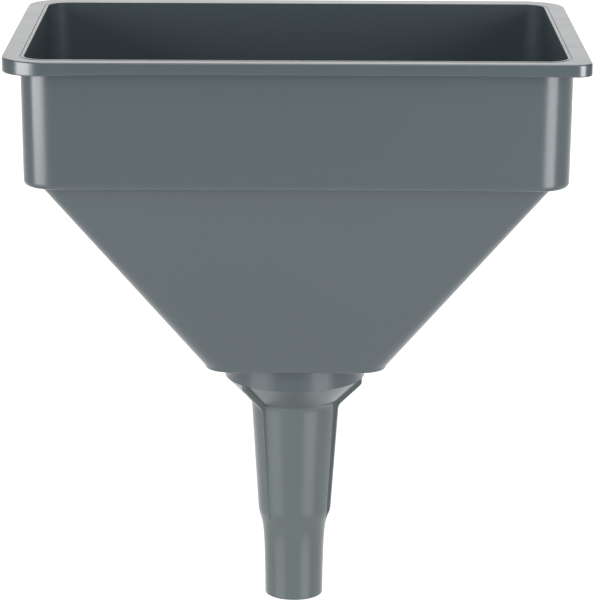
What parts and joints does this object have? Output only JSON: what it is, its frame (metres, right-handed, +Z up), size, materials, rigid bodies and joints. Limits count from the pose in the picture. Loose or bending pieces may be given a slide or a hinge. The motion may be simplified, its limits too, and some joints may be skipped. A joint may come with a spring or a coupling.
{
  "type": "filling funnel",
  "caption": "Rectangular filling funnel: deep upright hopper with turned-down rim, sloping sides, round collar, ribbed tapering spout and a lift-out wire-gauze strainer.",
  "frame": {"origin": "centre of the spout's lower end, which is the middle of the underside of the box", "axes": "+Z up along the spout and out of the mouth, X along the rim's long side, Y along its short side"},
  "size_m": [0.275, 0.19, 0.2908],
  "materials": {
    "grey_polyethylene": "smooth satin moulding, blue-grey",
    "dark_polyethylene": "smooth satin moulding, dark grey",
    "brass_gauze": "fine plain-woven wire cloth"
  },
  "bodies": {
    "funnel": {"hopper": "grey_polyethylene", "spout": "grey_polyethylene"},
    "strainer": {"strainer_frame": "dark_polyethylene", "strainer_gauze": "brass_gauze", "strainer_clamp_ring": "dark_polyethylene"}
  },
  "joints": [
    {"name": "strainer_lift", "type": "slide", "parent": "funnel", "child": "strainer", "axis": [0, 0, 1], "range_m": [0, 0.18]}
  ]
}
